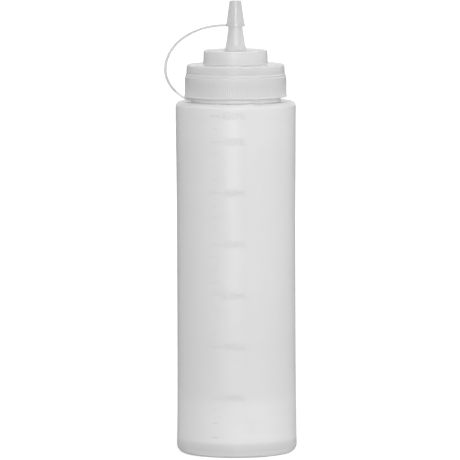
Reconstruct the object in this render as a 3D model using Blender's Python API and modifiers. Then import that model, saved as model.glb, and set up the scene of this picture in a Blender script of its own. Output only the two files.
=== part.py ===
"""A squeeze bottle for sauce: a waisted bottle, a screw lid with a nozzle, and a tip cap on a strap.

Every length is in metres. The bottle stands on the XY plane, its axis is the Z axis, and the scale that is
moulded on the bottle would face -Y. The strap leaves the tip cap towards -X and curves down to its ring.
"""

import math

import bpy
from mathutils import Matrix, Vector

# Fineness of round shapes, in counts
ROUND_STEPS = 48
TIP_STEPS = 24
WALL_PIECES = 7
STRAP_PIECES = 15

# A fillet of this radius is one flat piece, and one of four times it has two
FILLET_FINENESS = 0.0003

# Space that pieces keep where they fit or rest on each other, and how far a cutter runs past what it cuts
CLEARANCE = 0.0003
OVERRUN = 0.0001

# Points that meet on the axis are welded within this distance
WELD_DISTANCE = 0.00001

# Bottle body
BODY_END_RADIUS = 0.0343
BODY_WAIST_RADIUS = 0.0338
BODY_WALL = 0.0009
BODY_HEIGHT = 0.2013
WAIST_HEIGHT = 0.1035
LOWER_FLARE_POWER = 5
UPPER_FLARE_POWER = 2
BASE_FILLET = 0.0051
BASE_WALL = 0.0012
BASE_RECESS = 0.0008
RECESS_SLOPE_WIDTH = 0.0015
STANDING_RING_WIDTH = 0.0047
SHOULDER_FILLET = 0.0027
SHOULDER_WALL = 0.0011

# Bottle neck
NECK_RADIUS = 0.0250
NECK_WALL = 0.0019
NECK_HEIGHT = 0.0191
NECK_LIP_FILLET = 0.0005
NECK_ROOT_FILLET = 0.0008
GROOVE_DEPTH = 0.0008
RETAINING_BEAD_OUT = 0.0004
RETAINING_BEAD_HEIGHT = 0.0012

# Ring of the tether, round the groove of the neck
TETHER_RING_WALL = 0.0010
TETHER_RING_HEIGHT = 0.0018
TETHER_RING_FILLET = 0.0003

# Lid skirt and its bands
THREAD_DEPTH = 0.0016
THREAD_PLAY = 0.0006
SKIRT_WALL = 0.0017
SKIRT_DRAFT = 0.0001
LID_TOP_WALL = 0.0016
TOP_BAND_HEIGHT = 0.0051
TOP_BAND_DRAFT = 0.0003
MIDDLE_BAND_HEIGHT = 0.0014
BAND_STEP_OUT = 0.0004
BAND_STEP_SLOPE = 0.0005
SKIRT_BEAD_OUT = 0.0004
SKIRT_BEAD_HEIGHT = 0.0013
LID_EDGE_FILLET = 0.0006
SMALL_FILLET = 0.00025
RIB_COUNT = 144
RIB_DEPTH = 0.0003
RIB_HEIGHT = 0.0055
RIB_MARGIN = 0.0006
PLUG_WALL = 0.0009
PLUG_LENGTH = 0.0035

# Upper tier of the lid
TIER_RADIUS = 0.0181
TIER_DRAFT = 0.0003
TIER_HEIGHT = 0.0081
TIER_WALL = 0.0015
TIER_TOP_WALL = 0.0015
TIER_EDGE_FILLET = 0.0006
TIER_FOOT_FILLET = 0.0005

# Nozzle
NOZZLE_FOOT_RADIUS = 0.00587
NOZZLE_TIP_RADIUS = 0.00222
NOZZLE_LENGTH = 0.0257
NOZZLE_WALL = 0.0011
NOZZLE_FLARE_OUT = 0.0007
NOZZLE_FLARE_HEIGHT = 0.0011
NOZZLE_TIP_FILLET = 0.0003

# Tip cap
CAP_DEPTH = 0.0122
CAP_TOP_WALL = 0.0021
CAP_TOP_RADIUS = 0.00338
CAP_MOUTH_RADIUS = 0.00528
CAP_TOP_FILLET = 0.0004
CAP_RIM_OUT = 0.0002
CAP_RIM_HEIGHT = 0.0016
CAP_RIM_SLOPE = 0.0006

# Strap between the tip cap and the ring, and the lug that it springs from at each end
STRAP_THICKNESS = 0.0011
STRAP_WIDTH = 0.0026
STRAP_EDGE_FILLET = 0.00035
STRAP_REACH = 0.0400
STRAP_TURN_BELOW_CAP = 0.0254
STRAP_CAP_HANDLE = 0.0181
STRAP_UPPER_HANDLE = 0.0146
STRAP_LOWER_HANDLE = 0.0106
STRAP_RING_HANDLE = 0.0026
STRAP_RING_DIP = 0.0008
CAP_LUG_LENGTH = 0.0010
RING_LUG_LENGTH = 0.0012
LUG_SINK = 0.0004
LUG_FILLET = 0.0002

# Places that follow from the sizes above
GROOVE_RADIUS = NECK_RADIUS - GROOVE_DEPTH
NECK_BORE_RADIUS = NECK_RADIUS - NECK_WALL
NECK_TOP = BODY_HEIGHT + NECK_HEIGHT
RING_BOTTOM = BODY_HEIGHT + CLEARANCE
RING_TOP = RING_BOTTOM + TETHER_RING_HEIGHT
RING_INNER_RADIUS = GROOVE_RADIUS + CLEARANCE
RING_OUTER_RADIUS = RING_INNER_RADIUS + TETHER_RING_WALL
BEAD_BOTTOM = RING_TOP + CLEARANCE
SKIRT_BOTTOM = RING_TOP + CLEARANCE
SKIRT_BORE_RADIUS = NECK_RADIUS + THREAD_DEPTH + THREAD_PLAY
SKIRT_RADIUS = SKIRT_BORE_RADIUS + SKIRT_WALL
LID_CEILING = NECK_TOP + CLEARANCE
LID_TOP = LID_CEILING + LID_TOP_WALL
TIER_TOP = LID_TOP + TIER_HEIGHT
TIER_CEILING = TIER_TOP - TIER_TOP_WALL
NOZZLE_TIP = TIER_TOP + NOZZLE_LENGTH
NOZZLE_TAPER = (NOZZLE_FOOT_RADIUS - NOZZLE_TIP_RADIUS) / NOZZLE_LENGTH
CAP_CEILING = NOZZLE_TIP + CLEARANCE
CAP_TOP = CAP_CEILING + CAP_TOP_WALL
CAP_MOUTH = NOZZLE_TIP - CAP_DEPTH
CAP_LUG_HEIGHT = CAP_MOUTH + STRAP_THICKNESS / 2
CAP_LUG_END = CAP_MOUTH_RADIUS + CAP_RIM_OUT + CAP_LUG_LENGTH
RING_LUG_HEIGHT = RING_BOTTOM + TETHER_RING_HEIGHT / 2
RING_LUG_END = RING_OUTER_RADIUS + RING_LUG_LENGTH


def clear_scene():
    """Removes what the scene holds at the start."""
    for thing in list(bpy.data.objects):
        bpy.data.objects.remove(thing, do_unlink=True)


def new_collection(name):
    """A collection of this name under the scene."""
    collection = bpy.data.collections.new(name)
    bpy.context.scene.collection.children.link(collection)
    return collection


def plastic(name, colour, roughness, see_through):
    """Milky moulded polyethylene."""
    material = bpy.data.materials.new(name)
    material.use_nodes = True
    shader = material.node_tree.nodes["Principled BSDF"]
    shader.inputs["Base Color"].default_value = (*colour, 1.0)
    shader.inputs["Roughness"].default_value = roughness
    shader.inputs["Metallic"].default_value = 0.0
    shader.inputs["Transmission Weight"].default_value = see_through
    material.diffuse_color = (*colour, 1.0)
    return material


def filleted(corners):
    """The outline through corners (radius, height, fillet), with each fillet drawn as a tangent arc.

    A fillet is limited to what half of the shorter straight beside it allows.
    """
    points = []
    for index, (radius, height, fillet) in enumerate(corners):
        here = Vector((radius, height))
        if not fillet or index in (0, len(corners) - 1):
            points.append(here)
            continue
        back = Vector(corners[index - 1][:2]) - here
        ahead = Vector(corners[index + 1][:2]) - here
        room = min(back.length, ahead.length) / 2
        back.normalize()
        ahead.normalize()
        half_angle = back.angle(ahead) / 2
        along = min(fillet / math.tan(half_angle), room)
        arc_radius = along * math.tan(half_angle)
        centre = here + (back + ahead).normalized() * arc_radius / math.sin(half_angle)
        first = here + back * along - centre
        swing = first.angle_signed(here + ahead * along - centre)
        pieces = math.ceil(math.sqrt(arc_radius / FILLET_FINENESS))
        for piece in range(pieces + 1):
            angle = swing * piece / pieces
            points.append(
                centre
                + Vector(
                    (
                        first.x * math.cos(angle) + first.y * math.sin(angle),
                        first.y * math.cos(angle) - first.x * math.sin(angle),
                    )
                )
            )
    return points


def add_modifier(thing, name, kind, **settings):
    """Adds a modifier with these settings."""
    modifier = thing.modifiers.new(name, kind)
    for key, value in settings.items():
        setattr(modifier, key, value)
    return modifier


def turned(name, outline, collection, material, steps, closed=False):
    """A body of revolution: the outline at +X, turned about Z."""
    verts = [(point.x, 0.0, point.y) for point in outline]
    edges = [(index, index + 1) for index in range(len(verts) - 1)]
    if closed:
        edges.append((len(verts) - 1, 0))
    mesh = bpy.data.meshes.new(name)
    mesh.from_pydata(verts, edges, [])
    thing = bpy.data.objects.new(name, mesh)
    collection.objects.link(thing)
    thing.data.materials.append(material)
    add_modifier(
        thing,
        "turn",
        "SCREW",
        axis="Z",
        angle=math.tau,
        steps=steps,
        render_steps=steps,
        use_merge_vertices=True,
        merge_threshold=WELD_DISTANCE,
        use_smooth_shade=True,
    )
    return thing


def even_normals(thing):
    """Keeps flats flat and lets the fillets carry the change of shade."""
    add_modifier(thing, "even shade", "WEIGHTED_NORMAL")


def join(thing, other):
    """Unites another shape with this one."""
    add_modifier(thing, f"join {other.name}", "BOOLEAN", operation="UNION", solver="EXACT", object=other)


def cut(thing, cutter):
    """Takes a cutter's shape out of this one."""
    add_modifier(thing, f"cut {cutter.name}", "BOOLEAN", operation="DIFFERENCE", solver="EXACT", object=cutter)


def hide_helper(thing):
    """Marks a shape that only cuts or joins."""
    thing.hide_render = True
    thing.display_type = "WIRE"


def body_radius(height):
    """Outer radius of the body: full at both ends, least at the waist, and quicker to flare at the foot."""
    swell = BODY_END_RADIUS - BODY_WAIST_RADIUS
    if height < WAIST_HEIGHT:
        share = (WAIST_HEIGHT - height) / (WAIST_HEIGHT - BASE_FILLET)
        return BODY_WAIST_RADIUS + swell * share**LOWER_FLARE_POWER
    share = (height - WAIST_HEIGHT) / (BODY_HEIGHT - SHOULDER_FILLET - WAIST_HEIGHT)
    return BODY_WAIST_RADIUS + swell * share**UPPER_FLARE_POWER


def body_wall(low, high, inset):
    """Points up the body's wall between two heights, both left out, closer together near the ends."""
    points = []
    for piece in range(1, WALL_PIECES):
        share = (1 - math.cos(math.pi * piece / WALL_PIECES)) / 2
        height = low + (high - low) * share
        points.append((body_radius(height) - inset, height, 0))
    return points


def bottle_outline():
    """The bottle's section, from the middle of its floor up the inside, over the lip and down the outside."""
    floor = BASE_RECESS + BASE_WALL
    ceiling = BODY_HEIGHT - SHOULDER_WALL
    inner_end = BODY_END_RADIUS - BODY_WALL
    inside = [
        (0, floor, 0),
        (inner_end, floor, BASE_FILLET - BODY_WALL),
        *body_wall(floor + BASE_FILLET - BODY_WALL, BODY_HEIGHT - SHOULDER_FILLET, BODY_WALL),
        (inner_end, ceiling, SHOULDER_FILLET - BODY_WALL),
        (NECK_BORE_RADIUS, ceiling, NECK_ROOT_FILLET),
        (NECK_BORE_RADIUS, NECK_TOP, NECK_LIP_FILLET),
    ]
    bead_radius = NECK_RADIUS + RETAINING_BEAD_OUT
    neck = [
        (NECK_RADIUS, NECK_TOP, NECK_LIP_FILLET),
        (NECK_RADIUS, BEAD_BOTTOM + RETAINING_BEAD_HEIGHT, 0),
        (bead_radius, BEAD_BOTTOM + RETAINING_BEAD_HEIGHT / 2, RETAINING_BEAD_OUT),
        (bead_radius, BEAD_BOTTOM, SMALL_FILLET),
        (GROOVE_RADIUS, BEAD_BOTTOM, 0),
        (GROOVE_RADIUS, BODY_HEIGHT, SMALL_FILLET),
    ]
    recess_edge = BODY_END_RADIUS - BASE_FILLET - STANDING_RING_WIDTH
    outer_wall = body_wall(BASE_FILLET, BODY_HEIGHT - SHOULDER_FILLET, 0)
    outside = [
        (BODY_END_RADIUS, BODY_HEIGHT, SHOULDER_FILLET),
        *reversed(outer_wall),
        (BODY_END_RADIUS, 0, BASE_FILLET),
        (recess_edge, 0, SMALL_FILLET),
        (recess_edge - RECESS_SLOPE_WIDTH, BASE_RECESS, SMALL_FILLET),
        (0, BASE_RECESS, 0),
    ]
    return filleted(inside + neck + outside)


def nozzle_radius(height):
    """Outer radius of the nozzle's cone."""
    return NOZZLE_FOOT_RADIUS - NOZZLE_TAPER * (height - TIER_TOP)


def lid_outline():
    """The lid's section, a closed loop: down its outside from the nozzle's tip, then up its inside."""
    skirt_foot = SKIRT_RADIUS + SKIRT_DRAFT
    bead_radius = skirt_foot + SKIRT_BEAD_OUT
    bead_top = SKIRT_BOTTOM + SKIRT_BEAD_HEIGHT
    middle_radius = SKIRT_RADIUS - BAND_STEP_OUT
    band_radius = middle_radius - BAND_STEP_OUT
    band_bottom = LID_TOP - TOP_BAND_HEIGHT
    middle_bottom = band_bottom - MIDDLE_BAND_HEIGHT
    flare_top = TIER_TOP + NOZZLE_FLARE_HEIGHT
    outside = [
        (NOZZLE_TIP_RADIUS, NOZZLE_TIP, NOZZLE_TIP_FILLET),
        (nozzle_radius(flare_top), flare_top, NOZZLE_FLARE_OUT),
        (NOZZLE_FOOT_RADIUS + NOZZLE_FLARE_OUT, TIER_TOP, 0),
        (TIER_RADIUS, TIER_TOP, TIER_EDGE_FILLET),
        (TIER_RADIUS + TIER_DRAFT, LID_TOP, TIER_FOOT_FILLET),
        (band_radius - TOP_BAND_DRAFT, LID_TOP, LID_EDGE_FILLET),
        (band_radius, band_bottom, 0),
        (middle_radius, band_bottom - BAND_STEP_SLOPE, SMALL_FILLET),
        (middle_radius, middle_bottom, 0),
        (SKIRT_RADIUS, middle_bottom - BAND_STEP_SLOPE, SMALL_FILLET),
        (skirt_foot, bead_top, 0),
        (bead_radius, SKIRT_BOTTOM + SKIRT_BEAD_HEIGHT / 2, SKIRT_BEAD_OUT),
        (bead_radius, SKIRT_BOTTOM, SKIRT_BEAD_OUT),
    ]
    plug_radius = NECK_BORE_RADIUS - CLEARANCE
    inner_cone = nozzle_radius(TIER_CEILING) - NOZZLE_WALL
    inside = [
        (SKIRT_BORE_RADIUS, SKIRT_BOTTOM, SMALL_FILLET),
        (SKIRT_BORE_RADIUS, LID_CEILING, SMALL_FILLET),
        (plug_radius, LID_CEILING, 0),
        (plug_radius, LID_CEILING - PLUG_LENGTH, PLUG_WALL / 2),
        (plug_radius - PLUG_WALL, LID_CEILING - PLUG_LENGTH, 0),
        (plug_radius - PLUG_WALL, LID_CEILING, 0),
        (TIER_RADIUS - TIER_WALL, LID_CEILING, SMALL_FILLET),
        (TIER_RADIUS - TIER_WALL, TIER_CEILING, TIER_EDGE_FILLET),
        (inner_cone, TIER_CEILING, TIER_FOOT_FILLET),
        (NOZZLE_TIP_RADIUS - NOZZLE_WALL, NOZZLE_TIP, 0),
    ]
    # The tip's outer corner is rounded too, so the loop starts a little inside it, on the tip's flat end.
    start = (NOZZLE_TIP_RADIUS - NOZZLE_WALL / 2, NOZZLE_TIP, 0)
    return filleted([start, *outside, *inside])


def rib_cutter(collection):
    """A sleeve round the skirt whose bore is a star: what it cuts away leaves the upright grip ribs."""
    bottom = SKIRT_BOTTOM + SKIRT_BEAD_HEIGHT + RIB_MARGIN
    top = bottom + RIB_HEIGHT
    root = SKIRT_RADIUS - RIB_DEPTH
    crest = SKIRT_RADIUS + SKIRT_DRAFT + OVERRUN
    outer = crest + SKIRT_WALL
    points = 2 * RIB_COUNT
    verts = []
    for height in (bottom, top):
        for rim in ("bore", "outside"):
            for index in range(points):
                angle = math.tau * index / points
                radius = outer
                if rim == "bore":
                    radius = crest if index % 2 else root
                verts.append((radius * math.cos(angle), radius * math.sin(angle), height))
    faces = []
    for index in range(points):
        after = (index + 1) % points
        low_in, low_in_after = index, after
        low_out, low_out_after = points + index, points + after
        top_in, top_in_after = 2 * points + index, 2 * points + after
        top_out, top_out_after = 3 * points + index, 3 * points + after
        faces.append((low_in, low_in_after, low_out_after, low_out))
        faces.append((top_in, top_out, top_out_after, top_in_after))
        faces.append((low_in, top_in, top_in_after, low_in_after))
        faces.append((low_out, low_out_after, top_out_after, top_out))
    mesh = bpy.data.meshes.new("rib_cutter")
    mesh.from_pydata(verts, [], faces)
    thing = bpy.data.objects.new("rib_cutter", mesh)
    collection.objects.link(thing)
    hide_helper(thing)
    return thing


def ring_outline():
    """Section of the tether's ring, a closed loop that runs down its outer side."""
    return filleted(
        [
            (RING_INNER_RADIUS, RING_TOP, 0),
            (RING_OUTER_RADIUS, RING_TOP, TETHER_RING_FILLET),
            (RING_OUTER_RADIUS, RING_BOTTOM, TETHER_RING_FILLET),
            (RING_INNER_RADIUS, RING_BOTTOM, 0),
        ]
    )


def cap_outline():
    """The tip cap's section, from the middle of its ceiling over its closed top and down to its flared rim."""
    cap_taper = (CAP_MOUTH_RADIUS - CAP_TOP_RADIUS) / (CAP_TOP - CAP_MOUTH)
    rim_top = CAP_MOUTH + CAP_RIM_HEIGHT
    slope_top = rim_top + CAP_RIM_SLOPE
    above_rim = CAP_MOUTH_RADIUS - cap_taper * (slope_top - CAP_MOUTH)
    rim_upper = CAP_MOUTH_RADIUS - cap_taper * CAP_RIM_HEIGHT + CAP_RIM_OUT
    return filleted(
        [
            (0, CAP_TOP, 0),
            (CAP_TOP_RADIUS, CAP_TOP, CAP_TOP_FILLET),
            (above_rim, slope_top, 0),
            (rim_upper, rim_top, 0),
            (CAP_MOUTH_RADIUS + CAP_RIM_OUT, CAP_MOUTH, SMALL_FILLET),
            (nozzle_radius(CAP_MOUTH) + CLEARANCE, CAP_MOUTH, SMALL_FILLET),
            (nozzle_radius(NOZZLE_TIP) + CLEARANCE, CAP_CEILING, CAP_TOP_FILLET),
            (0, CAP_CEILING, 0),
        ]
    )


def lug(name, far, near, height, thickness, collection):
    """A short block on the -X side, from one distance to another from the axis, that the strap springs from."""
    bpy.ops.mesh.primitive_cube_add(size=1)
    thing = bpy.context.object
    thing.name = name
    for holder in list(thing.users_collection):
        holder.objects.unlink(thing)
    collection.objects.link(thing)
    thing.data.transform(Matrix.Diagonal((far - near, STRAP_WIDTH, thickness, 1)))
    thing.location = (-(far + near) / 2, 0, height)
    hide_helper(thing)
    return thing


def bezier(start, first, second, end, share):
    """A point on a cubic Bezier curve."""
    rest = 1 - share
    return (
        start * rest**3
        + first * 3 * rest * rest * share
        + second * 3 * rest * share * share
        + end * share**3
    )


def strap_route():
    """The strap's middle line in the XZ plane: level out of the cap's lug, round its far turn, in to the ring's lug."""
    start = Vector((-(CAP_LUG_END + CLEARANCE), CAP_LUG_HEIGHT))
    turn = Vector((-STRAP_REACH, CAP_LUG_HEIGHT - STRAP_TURN_BELOW_CAP))
    end = Vector((-(RING_LUG_END + CLEARANCE), RING_LUG_HEIGHT))
    upper = (
        start,
        start + Vector((-STRAP_CAP_HANDLE, 0)),
        turn + Vector((0, STRAP_UPPER_HANDLE)),
        turn,
    )
    lower = (
        turn,
        turn + Vector((0, -STRAP_LOWER_HANDLE)),
        end - Vector((STRAP_RING_HANDLE, STRAP_RING_DIP)),
        end,
    )
    points = [bezier(*upper, piece / STRAP_PIECES) for piece in range(STRAP_PIECES)]
    points += [bezier(*lower, piece / STRAP_PIECES) for piece in range(STRAP_PIECES + 1)]
    return points


def make_bottle(collection, material):
    thing = turned("bottle", bottle_outline(), collection, material, ROUND_STEPS)
    even_normals(thing)


def make_lid(collection, helpers, material):
    thing = turned("lid", lid_outline(), collection, material, ROUND_STEPS, closed=True)
    cut(thing, rib_cutter(helpers))
    even_normals(thing)


def make_tether_ring(collection, helpers, material):
    thing = turned("tether_ring", ring_outline(), collection, material, ROUND_STEPS, closed=True)
    root = lug(
        "ring_lug",
        RING_LUG_END,
        RING_OUTER_RADIUS - LUG_SINK,
        RING_LUG_HEIGHT,
        STRAP_THICKNESS,
        helpers,
    )
    add_modifier(root, "round edges", "BEVEL", width=LUG_FILLET, segments=1)
    join(thing, root)
    even_normals(thing)


def make_tip_cap(collection, helpers, material):
    thing = turned("tip_cap", cap_outline(), collection, material, TIP_STEPS)
    root = lug(
        "cap_lug",
        CAP_LUG_END,
        CAP_MOUTH_RADIUS + CAP_RIM_OUT - LUG_SINK,
        CAP_LUG_HEIGHT,
        STRAP_THICKNESS,
        helpers,
    )
    add_modifier(root, "round edges", "BEVEL", width=LUG_FILLET, segments=1)
    join(thing, root)
    even_normals(thing)


def make_strap(collection, material):
    """A ribbon along the strap's route, given its thickness and rounded edges."""
    route = strap_route()
    verts = []
    for point in route:
        for side in (-STRAP_WIDTH / 2, STRAP_WIDTH / 2):
            verts.append((point.x, side, point.y))
    faces = [(2 * i, 2 * i + 2, 2 * i + 3, 2 * i + 1) for i in range(len(route) - 1)]
    mesh = bpy.data.meshes.new("tether_strap")
    mesh.from_pydata(verts, [], faces)
    mesh.shade_smooth()
    thing = bpy.data.objects.new("tether_strap", mesh)
    collection.objects.link(thing)
    thing.data.materials.append(material)
    add_modifier(thing, "thickness", "SOLIDIFY", thickness=STRAP_THICKNESS, offset=0)
    add_modifier(
        thing,
        "round edges",
        "BEVEL",
        width=STRAP_EDGE_FILLET,
        segments=1,
        limit_method="ANGLE",
        angle_limit=math.radians(60),
    )
    even_normals(thing)


def main():
    clear_scene()
    pieces = new_collection("sauce_bottle")
    helpers = new_collection("helpers")
    body_plastic = plastic("bottle_plastic", (0.80, 0.81, 0.82), 0.42, 0.35)
    lid_plastic = plastic("lid_plastic", (0.78, 0.79, 0.80), 0.38, 0.25)
    make_bottle(pieces, body_plastic)
    make_lid(pieces, helpers, lid_plastic)
    make_tether_ring(pieces, helpers, lid_plastic)
    make_strap(pieces, lid_plastic)
    make_tip_cap(pieces, helpers, lid_plastic)


main()
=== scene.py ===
import math

import bmesh
import bpy
import numpy as np
from mathutils import Matrix, Vector, noise


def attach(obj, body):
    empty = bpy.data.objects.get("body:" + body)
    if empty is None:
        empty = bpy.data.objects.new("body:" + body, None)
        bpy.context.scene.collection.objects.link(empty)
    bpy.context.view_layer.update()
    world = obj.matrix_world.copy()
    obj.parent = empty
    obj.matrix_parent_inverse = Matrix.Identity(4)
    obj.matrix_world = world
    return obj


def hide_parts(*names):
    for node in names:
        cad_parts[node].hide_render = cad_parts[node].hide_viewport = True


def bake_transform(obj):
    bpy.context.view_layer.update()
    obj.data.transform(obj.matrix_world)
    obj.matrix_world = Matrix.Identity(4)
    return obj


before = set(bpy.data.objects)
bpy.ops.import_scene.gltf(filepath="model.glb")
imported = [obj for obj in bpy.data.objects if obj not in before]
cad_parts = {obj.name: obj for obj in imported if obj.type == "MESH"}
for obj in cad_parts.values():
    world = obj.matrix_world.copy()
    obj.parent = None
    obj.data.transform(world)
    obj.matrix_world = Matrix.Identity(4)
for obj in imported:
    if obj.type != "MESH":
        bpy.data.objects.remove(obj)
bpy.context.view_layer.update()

# Fineness: steps round a full turn, pieces along a curve, and the length that sets how fine an arc is
BODY_STEPS = 240
RIB_COUNT = 144
STEPS_A_RIB = 4
STEPS_A_GROOVE = 2
LID_STEPS = RIB_COUNT * STEPS_A_RIB
RING_STEPS = 192
CAP_STEPS = 96
THREAD_STEPS = 96
WALL_PIECES = 64
INNER_WALL_PIECES = 16
STRAP_PIECES = 44
STRAP_CORNER_PIECES = 4
MARK_PIECES = 12
WELD_LINE_PIECES = 40
ROUND_SEGMENTS = 3
ARC_FINENESS = 0.00005
SAME = 0.000001

# Edges that bend by more degrees than these stay sharp
TURNED_ANGLE = 32
RELIEF_ANGLE = 40
LETTER_ANGLE = 30
BAND_ANGLE = 50

# A straight run longer than SUPPORT_RUN gets a point SUPPORT_STEP inside each end that bends enough
SUPPORT_RUN = 0.0012
SUPPORT_STEP = 0.00015
SUPPORT_BEND = math.radians(2)

# The bottle, in metres, as in the solids
GAP = 0.0003
BODY_END_RADIUS = 0.0343
BODY_WAIST_RADIUS = 0.0338
BODY_WALL = 0.0009
BODY_HEIGHT = 0.2013
WAIST_HEIGHT = 0.1035
LOWER_FLARE_POWER = 5
UPPER_FLARE_POWER = 2
BASE_FILLET = 0.0051
BASE_WALL = 0.0012
BASE_RECESS = 0.0008
RECESS_SLOPE_WIDTH = 0.0015
STANDING_RING_WIDTH = 0.0047
SHOULDER_FILLET = 0.0027
SHOULDER_WALL = 0.0011
SMALL_FILLET = 0.00025
NECK_RADIUS = 0.0250
NECK_BORE_RADIUS = 0.0231
NECK_HEIGHT = 0.0191
NECK_TOP = BODY_HEIGHT + NECK_HEIGHT
NECK_LIP_FILLET = 0.0005
NECK_ROOT_FILLET = 0.0008
GROOVE_RADIUS = 0.0242
BEAD_OUT = 0.0004
BEAD_HEIGHT = 0.0012

# The wall's unevenness from blow moulding: its depths, where it fades out, and its noise (round, up, shift)
UNEVEN_DEPTH = 0.00007
UNEVEN_FINE_DEPTH = 0.000008
UNEVEN_INWARD_SHARE = 0.5
UNEVEN_FADE = 0.006
UNEVEN_MARGIN = 0.0002
UNEVEN_NOISE = (48, 34, 3.1)
UNEVEN_FINE_NOISE = (190, 130, 8.7)
SEAM_OUT = 0.00006
SEAM_HALF_ANGLE = math.radians(0.35)

# The welded line across the base, left where the mould pinches off the plastic
WELD_LINE_LENGTH = 0.034
WELD_LINE_HALF_WIDTH = 0.00035
WELD_LINE_DROP = 0.00042
WELD_LINE_SINK = 0.0002
WELD_LINE_FOOT_SHARE = 1.7
WELD_LINE_FLANK_SHARE = 0.7
WELD_LINE_END_POWER = 0.4
WELD_LINE_WIDTH_NOISE = (0.2, 260, 1.7)
WELD_LINE_DROP_NOISE = (0.15, 180, 4.2)

# The tether's ring, in the neck's groove. The swell makes it taller than the solid at both edges
RING_HEIGHT = 0.0018
RING_WALL = 0.0010
RING_BOTTOM = BODY_HEIGHT + GAP
RING_TOP = RING_BOTTOM + RING_HEIGHT
RING_INNER_RADIUS = GROOVE_RADIUS + GAP
RING_OUTER_RADIUS = RING_INNER_RADIUS + RING_WALL
RING_SWELL = 0.00025
RING_TOP_FILLET = 0.0003
RING_BOTTOM_FILLET = 0.0001

# The lid. Its ribs are shallower than the solid's, and the flare at its nozzle's foot is larger
SKIRT_BOTTOM = RING_TOP + GAP
SKIRT_BORE_RADIUS = 0.0272
SKIRT_RADIUS = 0.0289
SKIRT_DRAFT = 0.0001
SKIRT_BEAD_OUT = 0.0004
SKIRT_BEAD_HEIGHT = 0.0013
LID_CEILING = NECK_TOP + GAP
LID_TOP_WALL = 0.0016
LID_TOP = LID_CEILING + LID_TOP_WALL
TOP_BAND_HEIGHT = 0.0051
TOP_BAND_DRAFT = 0.0003
MIDDLE_BAND_HEIGHT = 0.0014
BAND_STEP_OUT = 0.0004
BAND_STEP_SLOPE = 0.0005
LID_EDGE_FILLET = 0.0006
RIB_DEPTH = 0.00014
RIB_HEIGHT = 0.0055
RIB_MARGIN = 0.0006
RIB_RUN_OUT = 0.0003
RIB_DRAFT_SHARES = (0.5, 0.6, 0.7, 0.8, 0.9)
RIB_BOTTOM = SKIRT_BOTTOM + SKIRT_BEAD_HEIGHT + RIB_MARGIN
RIB_TOP = RIB_BOTTOM + RIB_HEIGHT
PLUG_WALL = 0.0009
PLUG_LENGTH = 0.0035
TIER_RADIUS = 0.0181
TIER_DRAFT = 0.0003
TIER_HEIGHT = 0.0081
TIER_WALL = 0.0015
TIER_TOP = LID_TOP + TIER_HEIGHT
TIER_CEILING = TIER_TOP - TIER_WALL
TIER_EDGE_FILLET = 0.0006
TIER_FOOT_FILLET = 0.0005
NOZZLE_FOOT_RADIUS = 0.00587
NOZZLE_TIP_RADIUS = 0.00222
NOZZLE_LENGTH = 0.0257
NOZZLE_TIP = TIER_TOP + NOZZLE_LENGTH
NOZZLE_WALL = 0.0011
NOZZLE_FLARE_OUT = 0.0012
NOZZLE_FLARE_HEIGHT = 0.0028
FLARE_BEND_OUT_SHARE = 0.4
FLARE_BEND_UP_SHARE = 0.5
NOZZLE_TIP_FILLET = 0.0003
NOZZLE_TAPER = (NOZZLE_FOOT_RADIUS - NOZZLE_TIP_RADIUS) / NOZZLE_LENGTH

# The threads of the neck and of the skirt, which turn on each other
THREAD_PITCH = 0.0040
THREAD_BOTTOM = BODY_HEIGHT + 0.0060
THREAD_START = math.radians(200)
NECK_THREAD_OUT = 0.0015
NECK_THREAD_TURNS = 2.4
SKIRT_THREAD_IN = 0.0017
SKIRT_THREAD_TURNS = 1.6
THREAD_FOOT = 0.0018
THREAD_CREST = 0.0008
THREAD_CREST_FILLET = 0.00028
THREAD_SINK = 0.0003
THREAD_FADE_STEPS = THREAD_STEPS / 8
THREAD_END_OUT_SHARE = 0.04
THREAD_END_WIDTH_SHARE = 0.35

# The tip cap
CAP_DEPTH = 0.0122
CAP_TOP_WALL = 0.0021
CAP_CEILING = NOZZLE_TIP + GAP
CAP_TOP = CAP_CEILING + CAP_TOP_WALL
CAP_MOUTH = NOZZLE_TIP - CAP_DEPTH
CAP_TOP_RADIUS = 0.00338
CAP_MOUTH_RADIUS = 0.00528
CAP_TOP_FILLET = 0.0004
CAP_RIM_OUT = 0.0002
CAP_RIM_HEIGHT = 0.0016
CAP_RIM_SLOPE = 0.0006

# The strap, and the lugs that it springs from. It is thicker at its turn than the solid, and its lower half
# takes a slightly different way
STRAP_THICKNESS = 0.0011
STRAP_SWELL = 0.00035
STRAP_WIDTH = 0.0026
STRAP_CORNER = 0.00038
STRAP_REACH = 0.0400
STRAP_TURN_BELOW_CAP = 0.0254
STRAP_CAP_HANDLE = 0.0181
STRAP_UPPER_HANDLE = 0.0146
STRAP_LOWER_HANDLE = 0.0100
STRAP_RING_HANDLE = 0.0028
STRAP_RING_DIP = 0.0007
LUG_OVERLAP = 0.0003
LUG_FILLET = 0.00025
CAP_LUG_LENGTH = 0.0010
CAP_LUG_SINK = 0.0003
CAP_LUG_HEIGHT = CAP_MOUTH + STRAP_THICKNESS / 2
CAP_LUG_END = CAP_MOUTH_RADIUS + CAP_RIM_OUT + CAP_LUG_LENGTH
RING_LUG_LENGTH = 0.0012
RING_LUG_SINK = 0.0006
RING_LUG_HEIGHT = (RING_BOTTOM + RING_TOP) / 2
RING_LUG_END = RING_OUTER_RADIUS + RING_LUG_LENGTH
STRAP_TURN_HEIGHT = CAP_LUG_HEIGHT - STRAP_TURN_BELOW_CAP

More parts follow.
